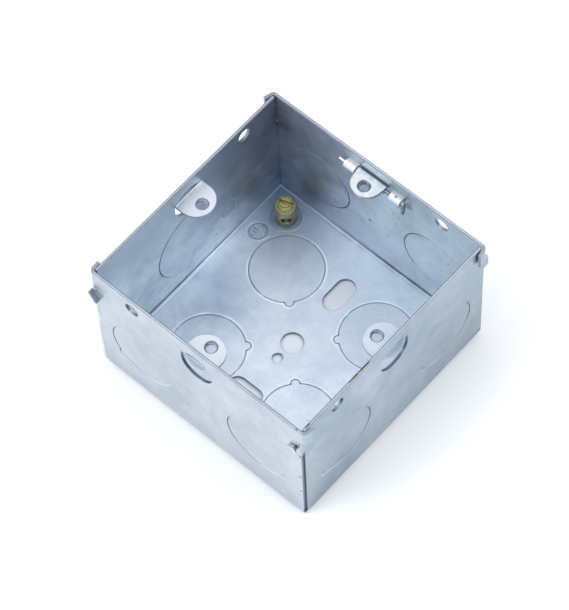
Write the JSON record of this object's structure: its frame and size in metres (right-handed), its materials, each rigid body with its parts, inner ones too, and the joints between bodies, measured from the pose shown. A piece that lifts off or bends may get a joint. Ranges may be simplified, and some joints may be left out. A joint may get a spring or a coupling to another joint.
{
  "type": "flush back box",
  "caption": "Square open-topped metal box for a wall-mounted wiring accessory, with lanced screw lugs, a sliding lug on a wire, knockouts and a brass earth terminal.",
  "frame": {"origin": "middle of the back's outer face, which is also the middle of the bounding box's underside", "axes": "+Z out of the open mouth; +X towards a wall with a fixed lug; +Y towards the wall with the sliding lug"},
  "size_m": [0.075, 0.0756, 0.047],
  "materials": {
    "box_sheet": "galvanised sheet, satin, faintly mottled",
    "lug_plate": "zinc plated, satin",
    "steel_wire": "drawn wire, zinc plated",
    "terminal_brass": "turned, bright",
    "screw_brass": "turned, bright"
  },
  "bodies": {
    "box": {"box_body": "box_sheet", "lug_rod": "steel_wire", "earth_terminal_pillar": "terminal_brass", "earth_terminal_screw": "screw_brass"},
    "sliding_lug": {"adjustable_lug": "lug_plate"}
  },
  "joints": [
    {"name": "lug_slide", "type": "slide", "parent": "box", "child": "sliding_lug", "axis": [1, 0, 0], "range_m": [-0.0004, 0.0021]}
  ]
}
